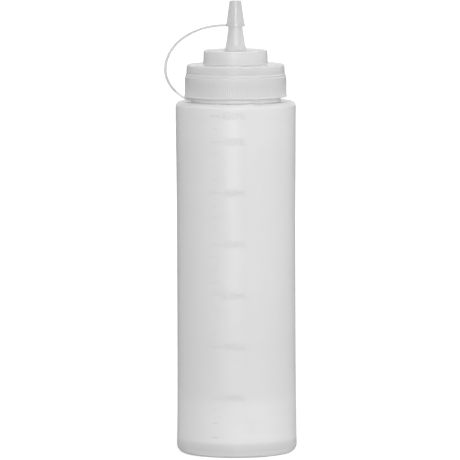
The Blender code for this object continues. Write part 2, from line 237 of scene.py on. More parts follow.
# The moulded scale, in millilitres, in metres up the body and in degrees round it, with 0 at the front
SCALE_FIRST = 25
SCALE_LAST = 650
SCALE_STEP = 25
LABEL_STEP = 100
LABELLED = (SCALE_LAST, *range(SCALE_LAST - SCALE_LAST % LABEL_STEP, 0, -LABEL_STEP))
SCALE_HEIGHT_AT_FIRST_LABEL = 0.0347
SCALE_METRES_PER_ML = 0.00029145
MARK_LEFT = -24.0
MARK_RIGHT = -18.2
MARK_THICK = 0.00062
MARK_END_SHARE = 0.7
MARK_CREST_SHARE = 0.3
MARK_FLANK_SHARE = 0.45
LONG_MARK_LEFT = -25.0
LONG_MARK_RIGHT = -15.2
LONG_MARK_THICK_SHARE = 1.25
FIRST_MARK_DROP = 0.0010
FIRST_MARK_THICK_SHARE = 1.6
LABEL_LEFT = -12.4
LABEL_WIDTH = 0.0133
LABEL_HEIGHT = 0.0040
LABEL_SPACING = 1.08
LABEL_FINENESS = 5
LABEL_BEVEL = 0.00005
LABEL_THINNING = 0.00003
RELIEF = 0.00008
RELIEF_SINK = 0.00015

# Polyethylene's surface, and the noises on it (scale, detail)
PLASTIC_IOR = 1.51
PLASTIC_SPECULAR = 0.35
ROUGHNESS_SPREAD = 0.02
GRAIN = 0.00001
CLOUD_NOISE = (42.0, 3.0)
SATIN_NOISE = (160.0, 4.0)
GRAIN_NOISE = (1400.0, 5.0)
NOISE_LOW = 0.3
NOISE_HIGH = 0.7
WHITE = (1, 1, 1, 1)

# The colour sockets of a Mix node, which has others of the same names for numbers and vectors
MIX_FIRST = 6
MIX_SECOND = 7
MIX_RESULT = 2

# The bottle's tone by height, all painted light and shade, which is darkest at the curve of its thick base
# Painted shade at that curve; painted light at the bottom edge, on the band above the curve, and up the
# shoulder and neck under the lid
BOTTLE_PAINTED_LIGHT_STOPS = (
    (0.0, 1.0),
    (0.0010, 0.96),
    (0.0022, 0.84),
    (0.0040, 0.74),
    (0.0068, 0.78),
    (0.0102, 0.96),
    (0.0125, 1.0),
    (0.0175, 1.0),
    (0.0260, 0.93),
    (0.0380, 0.875),
    (0.0600, 0.87),
    (0.0800, 0.88),
    (0.1200, 0.895),
    (0.1700, 0.90),
    (0.1900, 0.94),
    (0.1990, 0.97),
    (0.2010, 1.0),
    (0.2200, 1.0),
)

# The lid's tone by height, which is lightest on the top band and on both flat tops, and darker on the ribs,
# the tier's wall and the nozzle
# Painted light: the white on both flat tops, lit from above, and the lighter foot of the skirt over the
# shaded gap
LID_PAINTED_LIGHT_STOPS = (
    (SKIRT_BOTTOM, 0.88),
    (SKIRT_BOTTOM + 0.0006, 0.81),
    (SKIRT_BOTTOM + 0.0016, 0.80),
    (SKIRT_BOTTOM + 0.0060, 0.80),
    (SKIRT_BOTTOM + 0.0110, 0.815),
    (SKIRT_BOTTOM + 0.0127, 0.84),
    (SKIRT_BOTTOM + 0.0137, 0.98),
    (LID_TOP - 0.0002, 1.0),
    (LID_TOP + 0.0004, 1.0),
    (LID_TOP + 0.0012, 0.785),
    (LID_TOP + 0.0030, 0.80),
    (LID_TOP + 0.0048, 0.83),
    (TIER_TOP - 0.0008, 0.83),
    (TIER_TOP - 0.0002, 1.0),
    (TIER_TOP + 0.0001, 1.0),
    (TIER_TOP + 0.0004, 0.87),
    (TIER_TOP + 0.0016, 0.835),
    (TIER_TOP + 0.0026, 0.82),
    (TIER_TOP + 0.0060, 0.81),
    (NOZZLE_TIP, 0.79),
)

# The strap's tone by height, which is lightest in the gap under the skirt, as painted light in the shade
# there
STRAP_PAINTED_LIGHT_STOPS = (
    (RING_BOTTOM, 1.0),
    (SKIRT_BOTTOM, 0.98),
    (SKIRT_BOTTOM + 0.0040, 0.74),
    (CAP_MOUTH, 0.72),
    (CAP_TOP, 0.72),
)

# Each finish: its colour, its roughness, how far its colour clouds, how deep light sinks in, and its painted
# light and shade by height
FINISHES = {
    "milky_bottle": {
        "colour": (0.985, 0.987, 0.985),
        "roughness": 0.21,
        "cloud": 0.003,
        "depth": 0.0008,
        "stops": BOTTLE_PAINTED_LIGHT_STOPS,
    },
    "milky_scale": {
        "colour": (0.885, 0.887, 0.885),
        "roughness": 0.21,
        "cloud": 0.004,
        "depth": 0.00012,
    },
    "milky_lid": {
        "colour": (0.98, 0.982, 0.98),
        "roughness": 0.18,
        "cloud": 0.004,
        "depth": 0.0022,
        "stops": LID_PAINTED_LIGHT_STOPS,
    },
    "milky_tether": {
        "colour": (0.72, 0.722, 0.72),
        "roughness": 0.17,
        "cloud": 0.004,
        "depth": 0.0006,
    },
    "milky_strap": {
        "colour": (0.98, 0.982, 0.98),
        "roughness": 0.21,
        "cloud": 0.004,
        "depth": 0.0004,
        "stops": STRAP_PAINTED_LIGHT_STOPS,
    },
    # The ring's whiter colour is painted light in the shaded gap under the skirt
    "milky_ring_painted_light": {
        "colour": (0.99, 0.992, 0.99),
        "roughness": 0.21,
        "cloud": 0.004,
        "depth": 0.0001,
    },
}

# The floor, and its glow for the camera, from beside the bottle out to the distance where the glow is full
FLOOR_HALF_SIZE = 12.0
FLOOR_TONE = 0.8
FLOOR_ROUGHNESS = 0.9
FLOOR_GLOW_NEAR = 0.66
FLOOR_GLOW_DISTANCE = 1.5
FLOOR_DROP = 0.00005

# The tent round the bottle: its light, and that light's share by the sine of the angle above the horizon
WORLD_LIGHT = 1.7
WORLD_STOPS = (
    (0.0, 0.63),
    (0.17, 1.0),
    (0.5, 0.0),
    (1.0, 0.09),
)

# Soft lights: name, degrees round from the camera's side (+ to the right), degrees up, metres away, width,
# height, watts, and whether it shows in reflections
LIGHTS_TARGET = Vector((0, 0, 0.13))
LIGHTS = (
    ("left_fill", -45, -1, 2.4, 0.60, 0.16, 1.4, False),
    ("front_low", -6, -1, 2.4, 1.00, 0.20, 4.7, True),
    ("front", 6, 15, 2.4, 0.25, 0.25, 7.4, True),
    ("right_fill", 52, -1, 2.4, 0.60, 0.16, 2.2, False),
    ("key_right", 48, 26, 2.4, 0.90, 0.70, 5.2, True),
    ("top", 0, 88, 2.2, 1.20, 1.20, 8.0, True),
)

# The camera, in metres, with its roll in degrees and its lens and sensor in millimetres
CAMERA_PLACE = (-0.0035, -3.7, 0.4545)
CAMERA_TARGET = (-0.0035, 0, 0.1274)
CAMERA_ROLL = -0.2
CAMERA_LENS = 509
CAMERA_SENSOR = 36
CAMERA_NEAR = 0.1
CAMERA_FAR = 60


def shade(mesh, angle=TURNED_ANGLE):
    """Smooth faces, with edges sharper than the angle kept."""
    mesh.shade_smooth()
    mesh.set_sharp_from_angle(angle=math.radians(angle))


def solid(verts, faces):
    """The faces as a bmesh, turned to point out."""
    mesh = bpy.data.meshes.new("draft")
    mesh.from_pydata(verts, [], faces)
    bm = bmesh.new()
    bm.from_mesh(mesh)
    bpy.data.meshes.remove(mesh)
    bmesh.ops.recalc_face_normals(bm, faces=bm.faces)
    return bm


def finished(bm, name, angle=TURNED_ANGLE):
    """The bmesh as a mesh, shaded."""
    mesh = bpy.data.meshes.new(name)
    bm.to_mesh(mesh)
    bm.free()
    shade(mesh, angle)
    return mesh


def bar_faces(sections, points, first=0):
    """The faces of a bar through sections of a few points each, closed at both ends."""
    faces = []
    for section in range(sections - 1):
        start = first + points * section
        for side in range(points):
            here = start + side
            beside = start + (side + 1) % points
            faces.append((here, beside, beside + points, here + points))
    last = first + points * (sections - 1)
    faces.append(tuple(range(first, first + points)))
    faces.append(tuple(range(last, last + points)))
    return faces


def new_piece(name, mesh, body, material):
    """Links a mesh as a piece that rides on a body."""
    thing = bpy.data.objects.new(name, mesh)
    bpy.context.scene.collection.objects.link(thing)
    mesh.materials.clear()
    mesh.materials.append(material)
    if body:
        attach(thing, body)
    return thing


def filleted(corners):
    """The outline through corners (radius, height, fillet), with each fillet drawn as a tangent arc."""
    points = []
    for index, (radius, height, fillet) in enumerate(corners):
        here = Vector((radius, height))
        if not fillet or index in (0, len(corners) - 1):
            points.append(here)
            continue
        back = Vector(corners[index - 1][:2]) - here
        ahead = Vector(corners[index + 1][:2]) - here
        room = min(
            back.length / (2 if corners[index - 1][2] else 1),
            ahead.length / (2 if corners[index + 1][2] else 1),
        )
        back.normalize()
        ahead.normalize()
        half_angle = back.angle(ahead) / 2
        along = min(fillet / math.tan(half_angle), room)
        arc_radius = along * math.tan(half_angle)
        centre = here + (back + ahead).normalized() * arc_radius / math.sin(half_angle)
        first = here + back * along - centre
        swing = first.angle_signed(here + ahead * along - centre)
        pieces = math.ceil(math.sqrt(arc_radius / ARC_FINENESS)) + 1
        for piece in range(pieces + 1):
            angle = swing * piece / pieces
            turned_x = first.x * math.cos(angle) + first.y * math.sin(angle)
            turned_y = first.y * math.cos(angle) - first.x * math.sin(angle)
            points.append(centre + Vector((turned_x, turned_y)))
    return supported(points)


def supported(points):
    """Adds a point just inside each end of a straight run, so that smooth shading keeps it straight."""
    result = [points[0]]
    for index, (here, after) in enumerate(zip(points, points[1:])):
        run = after - here
        if run.length > SUPPORT_RUN:
            step = run.normalized() * SUPPORT_STEP
            if index > 0 and run.angle(here - points[index - 1]) > SUPPORT_BEND:
                result.append(here + step)
            if index + 2 < len(points) and run.angle(points[index + 2] - after) > SUPPORT_BEND:
                result.append(after - step)
        result.append(after)
    return result


def revolve(name, outline, angles, closed=False, radius_change=None):
    """A mesh turned about Z through the outline's points, which may move in or out with the angle."""
    rows = []
    verts = []
    faces = []
    count = len(angles)
    for point in outline:
        if point.x < SAME:
            rows.append([len(verts)] * count)
            verts.append((0.0, 0.0, point.y))
            continue
        row = []
        for angle in angles:
            radius = point.x
            if radius_change:
                radius += radius_change(point.x, point.y, angle)
            row.append(len(verts))
            verts.append((radius * math.cos(angle), radius * math.sin(angle), point.y))
        rows.append(row)
    pairs = list(zip(rows, rows[1:]))
    if closed:
        pairs.append((rows[-1], rows[0]))
    for upper, lower in pairs:
        for step in range(count):
            after = (step + 1) % count
            corners = [upper[step], lower[step], lower[after], upper[after]]
            face = list(dict.fromkeys(corners))
            if len(face) > 2:
                faces.append(face)
    return finished(solid(verts, faces), name)


def even_steps(count):
    return [math.tau * step / count for step in range(count)]


def seam_steps(count):
    """Even steps with two more close to each side of the mould's parting line, at 0 and 180 degrees."""
    steps = even_steps(count)
    for middle in (0, math.pi):
        for offset in (-SEAM_HALF_ANGLE, SEAM_HALF_ANGLE):
            steps.append((middle + offset) % math.tau)
    return sorted(steps)


def body_radius(height):
    """Outer radius of the body, as in the solids."""
    swell = BODY_END_RADIUS - BODY_WAIST_RADIUS
    if height < WAIST_HEIGHT:
        share = (WAIST_HEIGHT - height) / (WAIST_HEIGHT - BASE_FILLET)
        return BODY_WAIST_RADIUS + swell * min(share, 1) ** LOWER_FLARE_POWER
    share = (height - WAIST_HEIGHT) / (BODY_HEIGHT - SHOULDER_FILLET - WAIST_HEIGHT)
    return BODY_WAIST_RADIUS + swell * min(share, 1) ** UPPER_FLARE_POWER


def body_wall(low, high, inset, pieces):
    """Points up the body's wall, this far in from its face, closest together at both ends."""
    points = []
    for piece in range(1, pieces):
        share = (1 - math.cos(math.pi * piece / pieces)) / 2
        height = low + (high - low) * share
        points.append((body_radius(height) - inset, height, 0))
    return points


def bottle_outline():
    """The bottle's section up its inside from the base, then down its outside."""
    floor = BASE_RECESS + BASE_WALL
    ceiling = BODY_HEIGHT - SHOULDER_WALL
    inner_end = BODY_END_RADIUS - BODY_WALL
    inner_fillet = BASE_FILLET - BODY_WALL
    wall_top = BODY_HEIGHT - SHOULDER_FILLET
    inside = [
        (0, floor, 0),
        (inner_end, floor, inner_fillet),
        *body_wall(floor + inner_fillet, wall_top, BODY_WALL, INNER_WALL_PIECES),
        (inner_end, ceiling, SHOULDER_FILLET - BODY_WALL),
        (NECK_BORE_RADIUS, ceiling, NECK_ROOT_FILLET),
        (NECK_BORE_RADIUS, NECK_TOP, NECK_LIP_FILLET),
    ]
    bead_bottom = RING_TOP + GAP
    neck = [
        (NECK_RADIUS, NECK_TOP, NECK_LIP_FILLET),
        (NECK_RADIUS, bead_bottom + BEAD_HEIGHT, 0),
        (NECK_RADIUS + BEAD_OUT, bead_bottom + BEAD_HEIGHT / 2, BEAD_OUT),
        (NECK_RADIUS + BEAD_OUT, bead_bottom, SMALL_FILLET),
        (GROOVE_RADIUS, bead_bottom, 0),
        (GROOVE_RADIUS, BODY_HEIGHT, SMALL_FILLET),
    ]
    recess_edge = BODY_END_RADIUS - BASE_FILLET - STANDING_RING_WIDTH
    outside = [
        (BODY_END_RADIUS, BODY_HEIGHT, SHOULDER_FILLET),
        *reversed(body_wall(BASE_FILLET, wall_top, 0, WALL_PIECES)),
        (BODY_END_RADIUS, 0, BASE_FILLET),
        (recess_edge, 0, SMALL_FILLET),
        (recess_edge - RECESS_SLOPE_WIDTH, BASE_RECESS, SMALL_FILLET),
        (0, BASE_RECESS, 0),
    ]
    return filleted(inside + neck + outside)


def wall_noise(place, settings):
    """Noise at a place, squeezed by one scale round the bottle and another up it, and shifted."""
    around, up, shift = settings
    return noise.noise(Vector((place.x * around, place.y * around, place.z * up + shift)))


def wall_change(radius, height, angle):
    """The uneven wall that blow moulding leaves, with the faint ridge of the parting line."""
    if radius < BODY_WAIST_RADIUS - UNEVEN_MARGIN:
        return 0.0
    fade = min(1.0, max(0.0, (height - BASE_FILLET) / UNEVEN_FADE))
    fade *= min(1.0, max(0.0, (BODY_HEIGHT - SHOULDER_FILLET - height) / UNEVEN_FADE))
    place = Vector((radius * math.cos(angle), radius * math.sin(angle), height))
    broad = wall_noise(place, UNEVEN_NOISE)
    fine = wall_noise(place, UNEVEN_FINE_NOISE)
    change = fade * (UNEVEN_DEPTH * (broad - UNEVEN_INWARD_SHARE) + UNEVEN_FINE_DEPTH * fine)
    if min(angle, abs(angle - math.pi), math.tau - angle) < SAME:
        change += SEAM_OUT * fade
    return change


def nozzle_radius(height):
    return NOZZLE_FOOT_RADIUS - NOZZLE_TAPER * (height - TIER_TOP)


def lid_outline():
    """The lid's section down its outside from the nozzle's tip, then up its inside."""
    skirt_foot = SKIRT_RADIUS + SKIRT_DRAFT
    bead_radius = skirt_foot + SKIRT_BEAD_OUT
    bead_top = SKIRT_BOTTOM + SKIRT_BEAD_HEIGHT
    middle_radius = SKIRT_RADIUS - BAND_STEP_OUT
    band_radius = middle_radius - BAND_STEP_OUT
    band_bottom = LID_TOP - TOP_BAND_HEIGHT
    middle_bottom = band_bottom - MIDDLE_BAND_HEIGHT
    flare_top = TIER_TOP + NOZZLE_FLARE_HEIGHT
    flare_bend_radius = nozzle_radius(TIER_TOP) + NOZZLE_FLARE_OUT * FLARE_BEND_OUT_SHARE
    flare_bend_up = NOZZLE_FLARE_OUT * FLARE_BEND_UP_SHARE
    rib_heights = (
        RIB_TOP + RIB_RUN_OUT,
        RIB_TOP,
        (RIB_TOP + RIB_BOTTOM) / 2,
        RIB_BOTTOM,
        RIB_BOTTOM - RIB_RUN_OUT,
    )
    outside = [
        (NOZZLE_TIP_RADIUS, NOZZLE_TIP, NOZZLE_TIP_FILLET),
        (nozzle_radius(flare_top), flare_top, NOZZLE_FLARE_HEIGHT),
        (flare_bend_radius, TIER_TOP + flare_bend_up, flare_bend_up),
        (NOZZLE_FOOT_RADIUS + NOZZLE_FLARE_OUT, TIER_TOP, 0),
        (TIER_RADIUS, TIER_TOP, TIER_EDGE_FILLET),
        (TIER_RADIUS + TIER_DRAFT, LID_TOP, TIER_FOOT_FILLET),
        (band_radius - TOP_BAND_DRAFT, LID_TOP, LID_EDGE_FILLET),
        (band_radius, band_bottom, 0),
        (middle_radius, band_bottom - BAND_STEP_SLOPE, SMALL_FILLET),
        (middle_radius, middle_bottom, 0),
        (SKIRT_RADIUS, middle_bottom - BAND_STEP_SLOPE, SMALL_FILLET),
        *[(SKIRT_RADIUS + SKIRT_DRAFT * s, h, 0) for s, h in zip(RIB_DRAFT_SHARES, rib_heights)],
        (skirt_foot, bead_top, 0),
        (bead_radius, SKIRT_BOTTOM + SKIRT_BEAD_HEIGHT / 2, SKIRT_BEAD_OUT),
        (bead_radius, SKIRT_BOTTOM, SKIRT_BEAD_OUT),
    ]
    plug_radius = NECK_BORE_RADIUS - GAP
    inner_cone = nozzle_radius(TIER_CEILING) - NOZZLE_WALL
    inside = [
        (SKIRT_BORE_RADIUS, SKIRT_BOTTOM, SMALL_FILLET),
        (SKIRT_BORE_RADIUS, LID_CEILING, SMALL_FILLET),
        (plug_radius, LID_CEILING, 0),
        (plug_radius, LID_CEILING - PLUG_LENGTH, PLUG_WALL / 2),
        (plug_radius - PLUG_WALL, LID_CEILING - PLUG_LENGTH, 0),
        (plug_radius - PLUG_WALL, LID_CEILING, 0),
        (TIER_RADIUS - TIER_WALL, LID_CEILING, SMALL_FILLET),
        (TIER_RADIUS - TIER_WALL, TIER_CEILING, TIER_EDGE_FILLET),
        (inner_cone, TIER_CEILING, TIER_FOOT_FILLET),
        (NOZZLE_TIP_RADIUS - NOZZLE_WALL, NOZZLE_TIP, 0),
    ]
    start = (NOZZLE_TIP_RADIUS - NOZZLE_WALL / 2, NOZZLE_TIP, 0)
    return filleted([start, *outside, *inside])


def rib_change(radius, height, angle):
    """Cuts the grooves between the grip ribs into the skirt's outer face."""
    if radius < SKIRT_RADIUS - SAME or not RIB_BOTTOM - SAME < height < RIB_TOP + SAME:
        return 0.0
    step = round(angle / math.tau * LID_STEPS) % STEPS_A_RIB
    return -RIB_DEPTH if step < STEPS_A_GROOVE else 0.0


def ring_outline():
    top = RING_TOP + RING_SWELL
    bottom = RING_BOTTOM - RING_SWELL
    return filleted(
        [
            (RING_INNER_RADIUS, top, 0),
            (RING_OUTER_RADIUS, top, RING_TOP_FILLET),
            (RING_OUTER_RADIUS, bottom, RING_BOTTOM_FILLET),
            (RING_INNER_RADIUS, bottom, 0),
        ]
    )


def cap_outline():
    """The cap's section down its outside, then up the cone that fits the nozzle."""
    cap_taper = (CAP_MOUTH_RADIUS - CAP_TOP_RADIUS) / (CAP_TOP - CAP_MOUTH)
    rim_top = CAP_MOUTH + CAP_RIM_HEIGHT
    slope_top = rim_top + CAP_RIM_SLOPE
    above_rim = CAP_MOUTH_RADIUS - cap_taper * (slope_top - CAP_MOUTH)
    rim_upper = CAP_MOUTH_RADIUS - cap_taper * CAP_RIM_HEIGHT + CAP_RIM_OUT
    return filleted(
        [
            (0, CAP_TOP, 0),
            (CAP_TOP_RADIUS, CAP_TOP, CAP_TOP_FILLET),
            (above_rim, slope_top, CAP_RIM_OUT),
            (rim_upper, rim_top, CAP_RIM_OUT),
            (CAP_MOUTH_RADIUS + CAP_RIM_OUT, CAP_MOUTH, CAP_RIM_OUT / 2),
            (nozzle_radius(CAP_MOUTH) + GAP, CAP_MOUTH, SMALL_FILLET),
            (nozzle_radius(NOZZLE_TIP) + GAP, CAP_CEILING, CAP_TOP_FILLET),
            (0, CAP_CEILING, 0),
        ]
    )


def helix(name, radius, out, bottom, turns):
    """A screw thread on a wall of this radius: a ridge that stands out by out and fades at its ends."""
    sign = 1 if out > 0 else -1
    steps = round(turns * THREAD_STEPS)
    verts = []
    for step in range(steps + 1):
        angle = THREAD_START + math.tau * step / THREAD_STEPS
        middle = bottom + THREAD_PITCH * step / THREAD_STEPS
        fade = min(1.0, step / THREAD_FADE_STEPS, (steps - step) / THREAD_FADE_STEPS)
        fade = THREAD_END_OUT_SHARE + (1 - THREAD_END_OUT_SHARE) * math.sin(fade * math.pi / 2)
        width_share = THREAD_END_WIDTH_SHARE + (1 - THREAD_END_WIDTH_SHARE) * fade
        root = radius - sign * THREAD_SINK
        crest = radius + out * fade
        foot = THREAD_FOOT / 2 * width_share
        top = THREAD_CREST / 2 * width_share
        section = ((root, -foot), (crest, -top), (crest, top), (root, foot))
        for section_radius, rise in section:
            x = section_radius * math.cos(angle)
            y = section_radius * math.sin(angle)
            verts.append((x, y, middle + rise))
    corners = len(section)
    bm = solid(verts, bar_faces(steps + 1, corners))
    along = [e for e in bm.edges if abs(e.verts[0].index - e.verts[1].index) == corners]
    crests = [e for e in along if e.verts[0].index % corners in (1, 2)]
    bmesh.ops.bevel(bm, geom=crests, offset=THREAD_CREST_FILLET, segments=ROUND_SEGMENTS, affect="EDGES")
    return finished(bm, name, RELIEF_ANGLE)


def bezier(start, first, second, end, share):
    rest = 1 - share
    return (
        start * rest**3
        + first * 3 * rest * rest * share
        + second * 3 * rest * share * share
        + end * share**3
    )


def strap_halves():
    """The strap's middle line in the XZ plane, from the cap's lug to the turn and on to the ring's lug."""
    start = Vector((-(CAP_LUG_END - LUG_OVERLAP), CAP_LUG_HEIGHT))
    turn = Vector((-STRAP_REACH, STRAP_TURN_HEIGHT))
    end = Vector((-(RING_LUG_END - LUG_OVERLAP), RING_LUG_HEIGHT))
    upper = (start, start + Vector((-STRAP_CAP_HANDLE, 0)), turn + Vector((0, STRAP_UPPER_HANDLE)), turn)
    ring_handle = Vector((STRAP_RING_HANDLE, STRAP_RING_DIP))
    lower = (turn, turn + Vector((0, -STRAP_LOWER_HANDLE)), end - ring_handle, end)
    shares = [piece / STRAP_PIECES for piece in range(STRAP_PIECES + 1)]
    return [bezier(*upper, s) for s in shares], [bezier(*lower, s) for s in shares]


def strap_section(thickness):
    """A rounded band's section, as (across, out) points in order."""
    points = []
    for index, (side, up) in enumerate(((1, 1), (-1, 1), (-1, -1), (1, -1))):
        for piece in range(STRAP_CORNER_PIECES + 1):
            angle = math.radians(90 * index + 90 / STRAP_CORNER_PIECES * piece)
            across = side * (STRAP_WIDTH / 2 - STRAP_CORNER) + STRAP_CORNER * math.cos(angle)
            out = up * (thickness / 2 - STRAP_CORNER) + STRAP_CORNER * math.sin(angle)
            points.append((across, out))
    return points


def strap_mesh(name, route):
    """A band along the route, closed at both ends, thickest at the route's start, where the strap turns."""
    verts = []
    for index, point in enumerate(route):
        before = route[max(index - 1, 0)]
        after = route[min(index + 1, len(route) - 1)]
        along = (after - before).normalized()
        normal = Vector((-along.y, along.x))
        share = index / (len(route) - 1)
        swell = (1 + math.cos(math.pi * share)) / 2
        section = strap_section(STRAP_THICKNESS + STRAP_SWELL * swell)
        for across, out in section:
            place = point + normal * out
            verts.append((place.x, across, place.y))
    faces = bar_faces(len(route), len(section))
    return finished(solid(verts, faces), name, BAND_ANGLE)


def add_lug(thing, near, far, height):
    """Joins the short lug that the strap springs from to a ring or a cap, on its -X side."""
    bm = bmesh.new()
    bmesh.ops.create_cube(bm, size=1)
    for vert in bm.verts:
        vert.co.x *= far - near
        vert.co.y *= STRAP_WIDTH
        vert.co.z *= STRAP_THICKNESS
        vert.co += Vector((-(far + near) / 2, 0, height))
    bmesh.ops.bevel(bm, geom=list(bm.edges), offset=LUG_FILLET, segments=ROUND_SEGMENTS, affect="EDGES")
    helper = bpy.data.objects.new("lug", finished(bm, "lug", BAND_ANGLE))
    bpy.context.scene.collection.objects.link(helper)
    union = thing.modifiers.new("lug", "BOOLEAN")
    union.operation = "UNION"
    union.solver = "EXACT"
    union.object = helper
    bpy.context.view_layer.update()
    graph = bpy.context.evaluated_depsgraph_get()
    joined = bpy.data.meshes.new_from_object(thing.evaluated_get(graph))
    thing.modifiers.remove(union)
    joined.name = thing.data.name
    thing.data = joined
    bpy.data.objects.remove(helper, do_unlink=True)
    shade(thing.data)


def on_body(across, out, height):
    """A place on the body's front: across is metres round the wall, out metres from its face."""
    radius = body_radius(height)
    angle = across / radius - math.pi / 2
    return Vector(((radius + out) * math.cos(angle), (radius + out) * math.sin(angle), height))


def scale_height(volume):
    return SCALE_HEIGHT_AT_FIRST_LABEL + (volume - LABEL_STEP) * SCALE_METRES_PER_ML


def mark_size(volume):
    """A mark's left and right ends in degrees, its height and its thickness."""
    if volume in LABELLED:
        return LONG_MARK_LEFT, LONG_MARK_RIGHT, scale_height(volume), MARK_THICK * LONG_MARK_THICK_SHARE
    if volume == SCALE_FIRST:
        height = scale_height(volume) - FIRST_MARK_DROP
        return MARK_LEFT, MARK_RIGHT, height, MARK_THICK * FIRST_MARK_THICK_SHARE
    return MARK_LEFT, MARK_RIGHT, scale_height(volume), MARK_THICK


def scale_marks():
    """All marks of the scale in one mesh: low bars with rounded ends and edges."""
    flank = RELIEF * MARK_FLANK_SHARE
    section = (
        (-0.5, -RELIEF_SINK),
        (-0.5, flank),
        (-MARK_CREST_SHARE, RELIEF),
        (MARK_CREST_SHARE, RELIEF),
        (0.5, flank),
        (0.5, -RELIEF_SINK),
    )
    verts = []
    faces = []
    for volume in range(SCALE_FIRST, SCALE_LAST + 1, SCALE_STEP):
        left, right, height, thick = mark_size(volume)
        start = math.radians(left) * body_radius(height)
        end = math.radians(right) * body_radius(height)
        faces += bar_faces(MARK_PIECES + 1, len(section), first=len(verts))
        for piece in range(MARK_PIECES + 1):
            across = start + (end - start) * piece / MARK_PIECES
            narrow = MARK_END_SHARE if piece in (0, MARK_PIECES) else 1.0
            for up, out in section:
                verts.append(on_body(across, out, height + up * thick * narrow))
    return finished(solid(verts, faces), "scale_marks", RELIEF_ANGLE)


def flat_label(text):
    """The text as a flat raised mesh, drawn in x and y."""
    curve = bpy.data.curves.new("number", "FONT")
    curve.body = text
    curve.size = LABEL_HEIGHT
    curve.align_x = "LEFT"
    curve.align_y = "CENTER"
    curve.space_character = LABEL_SPACING
    curve.extrude = (RELIEF + RELIEF_SINK) / 2
    curve.bevel_depth = LABEL_BEVEL
    curve.bevel_resolution = 1
    curve.offset = -LABEL_THINNING
    curve.resolution_u = LABEL_FINENESS
    holder = bpy.data.objects.new("number", curve)
    bpy.context.scene.collection.objects.link(holder)
    bpy.context.view_layer.update()
    graph = bpy.context.evaluated_depsgraph_get()
    flat = bpy.data.meshes.new_from_object(holder.evaluated_get(graph))
    bpy.data.objects.remove(holder, do_unlink=True)
    bpy.data.curves.remove(curve)
    return flat


def scale_numbers():
    """The scale's numbers, drawn flat as raised text, fitted to one size and then bent round the body."""
    whole = bmesh.new()
    start = math.radians(LABEL_LEFT) * BODY_WAIST_RADIUS
    for volume in LABELLED:
        flat = flat_label(f"{volume}ML")
        corners = np.array([vert.co for vert in flat.vertices])
        low = corners.min(axis=0)
        size = corners.max(axis=0) - low
        for vert in flat.vertices:
            across = (vert.co.x - low[0]) / size[0] * LABEL_WIDTH
            up = ((vert.co.y - low[1]) / size[1] - 0.5) * LABEL_HEIGHT
            vert.co = (start + across, -vert.co.z, scale_height(volume) + up)
        whole.from_mesh(flat)
        bpy.data.meshes.remove(flat)
    bmesh.ops.remove_doubles(whole, verts=whole.verts, dist=SAME)
    for vert in whole.verts:
        out = -vert.co.y
        vert.co = on_body(vert.co.x, out + (RELIEF - RELIEF_SINK) / 2, vert.co.z)
    bmesh.ops.recalc_face_normals(whole, faces=whole.faces)
    return finished(whole, "scale_numbers", LETTER_ANGLE)


def wavering(x, settings):
    """A share near 1 that wavers along the weld line."""
    spread, scale, shift = settings
    return 1 - spread + spread * noise.noise(Vector((x * scale, shift, 0)))


def weld_line():
    """The welded line that the mould leaves across the base, inside the recess."""
    verts = []
    for piece in range(WELD_LINE_PIECES + 1):
        share = piece / WELD_LINE_PIECES
        x = (share - 0.5) * WELD_LINE_LENGTH
        fade = math.sin(math.pi * share) ** WELD_LINE_END_POWER
        half = WELD_LINE_HALF_WIDTH * wavering(x, WELD_LINE_WIDTH_NOISE)
        drop = WELD_LINE_DROP * fade * wavering(x, WELD_LINE_DROP_NOISE)
        foot = half * WELD_LINE_FOOT_SHARE
        flank = drop * WELD_LINE_FLANK_SHARE
        section = (
            (-foot, WELD_LINE_SINK),
            (-half, -flank),
            (0, -drop),
            (half, -flank),
            (foot, WELD_LINE_SINK),
        )
        for y, z in section:
            verts.append((x, y, BASE_RECESS + z))
    faces = bar_faces(WELD_LINE_PIECES + 1, len(section))
    return finished(solid(verts, faces), "base_pinch_line", RELIEF_ANGLE)


def noise_over(nodes, links, place, settings):
    """Smooth noise over the piece, as a share."""
    scale, detail = settings
    texture = nodes.new("ShaderNodeTexNoise")
    texture.inputs["Scale"].default_value = scale
    texture.inputs["Detail"].default_value = detail
    links.new(place.outputs["Object"], texture.inputs["Vector"])
    return texture.outputs["Fac"]


def painted_light_by_height(nodes, links, place, stops):
    """A grey of painted light and shade that follows the height above the floor, through (height, tone)
    stops.
    """
    bottom = stops[0][0]
    top = stops[-1][0]
    split = nodes.new("ShaderNodeSeparateXYZ")
    links.new(place.outputs["Object"], split.inputs["Vector"])
    share = nodes.new("ShaderNodeMapRange")
    share.inputs["From Min"].default_value = bottom
    share.inputs["From Max"].default_value = top
    links.new(split.outputs["Z"], share.inputs["Value"])
    ramp = nodes.new("ShaderNodeValToRGB")
    ramp.color_ramp.interpolation = "EASE"
    grey_ramp(ramp, [((height - bottom) / (top - bottom), tone) for height, tone in stops])
    links.new(share.outputs["Result"], ramp.inputs["Fac"])
    return ramp.outputs["Color"]


def grey_ramp(ramp, stops):
    """Gives a colour ramp its greys, through (share, tone) stops from 0 to 1."""
    elements = ramp.color_ramp.elements
    for share, tone in stops[1:-1]:
        elements.new(share)
    for element, (share, tone) in zip(elements, stops):
        element.color = (tone, tone, tone, 1)


